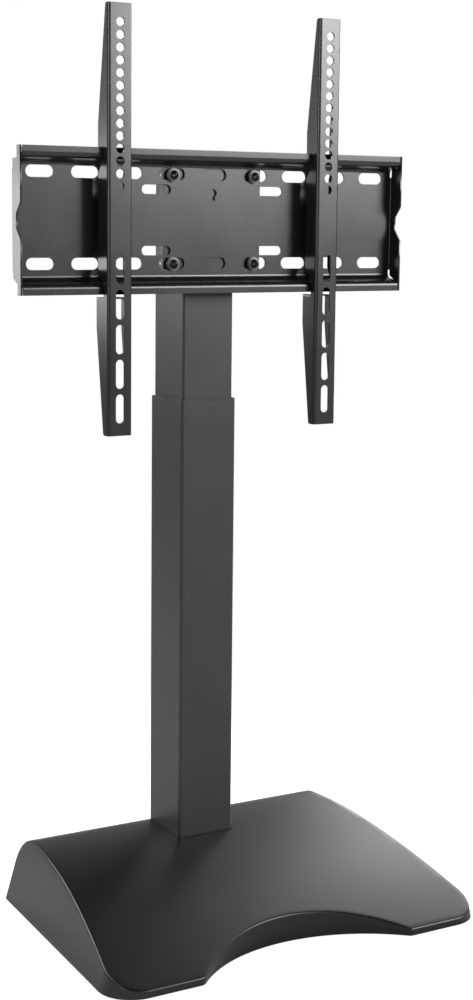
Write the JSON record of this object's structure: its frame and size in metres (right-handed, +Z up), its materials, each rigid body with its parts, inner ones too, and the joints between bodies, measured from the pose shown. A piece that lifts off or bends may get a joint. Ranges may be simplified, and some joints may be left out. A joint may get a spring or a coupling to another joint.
{
  "type": "tv stand with mount",
  "caption": "Motor-lifted floor stand for a flat display: arched hood base, square telescopic column, slotted carrier plate and sliding hanger arms.",
  "frame": {"origin": "on the floor, under the middle of the base's outline", "axes": "+X to the right seen from the front, +Y to the rear, +Z up; the display is carried on the -Y side"},
  "size_m": [0.469, 0.32, 0.968],
  "materials": {
    "powder_coat": "fine textured satin powder coat",
    "hood": "satin with a fine grain",
    "rubber": "matte",
    "black_plastic": "matte",
    "natural_plastic": "satin",
    "bronze": "machined",
    "bright_steel": "zinc plated",
    "black_steel": "black oxide, satin"
  },
  "bodies": {
    "base": {"base_hood": "hood", "base_plate": "powder_coat", "pad_rear_left": "rubber", "pad_rear_right": "rubber", "pad_front_left": "rubber", "pad_front_right": "rubber", "hood_screw_1": "bright_steel", "hood_screw_2": "bright_steel", "hood_screw_3": "bright_steel", "hood_screw_4": "bright_steel", "outer_column": "powder_coat", "foot_bolt_1": "bright_steel", "foot_bolt_2": "bright_steel", "foot_bolt_3": "bright_steel", "foot_bolt_4": "bright_steel", "gearbox": "black_plastic", "motor": "bright_steel", "motor_clamp": "bright_steel", "spindle_bearing": "bright_steel", "upper_glide_bush": "black_plastic", "control_box": "black_plastic", "power_inlet": "black_plastic"},
    "spindle": {"spindle": "bright_steel"},
    "lift": {"lifting_tube": "powder_coat", "lower_glide": "natural_plastic", "spindle_nut": "bronze", "tube_cap": "black_plastic", "head_bracket": "powder_coat", "head_screw_left_1": "black_steel", "head_screw_left_2": "black_steel", "head_screw_right_1": "black_steel", "head_screw_right_2": "black_steel", "carrier_plate": "powder_coat", "head_bolt_1": "black_steel", "head_washer_1": "black_steel", "head_nut_1": "bright_steel", "head_bolt_2": "black_steel", "head_washer_2": "black_steel", "head_nut_2": "bright_steel", "head_bolt_3": "black_steel", "head_washer_3": "black_steel", "head_nut_3": "bright_steel", "head_bolt_4": "black_steel", "head_washer_4": "black_steel", "head_nut_4": "bright_steel"},
    "arm_left": {"hanger_arm_left": "powder_coat", "lock_strip_left": "black_steel", "lock_screw_left": "black_steel"},
    "arm_right": {"hanger_arm_right": "powder_coat", "lock_strip_right": "black_steel", "lock_screw_right": "black_steel"}
  },
  "joints": [
    {"name": "lift_slide", "type": "slide", "parent": "base", "child": "lift", "axis": [0, 0, 1], "range_m": [-0.12, 0.265]},
    {"name": "spindle_turn", "type": "hinge", "parent": "base", "child": "spindle", "pos_m": [0, 0.089, 0.3], "axis": [0, 0, 1], "continuous": true},
    {"name": "arm_left_slide", "type": "slide", "parent": "lift", "child": "arm_left", "axis": [1, 0, 0], "range_m": [-0.09, 0.055]},
    {"name": "arm_right_slide", "type": "slide", "parent": "lift", "child": "arm_right", "axis": [1, 0, 0], "range_m": [-0.055, 0.09]}
  ],
  "couplings": [
    {"joint": "spindle_turn", "follows": "lift_slide", "rad_per_m": 392.7}
  ]
}
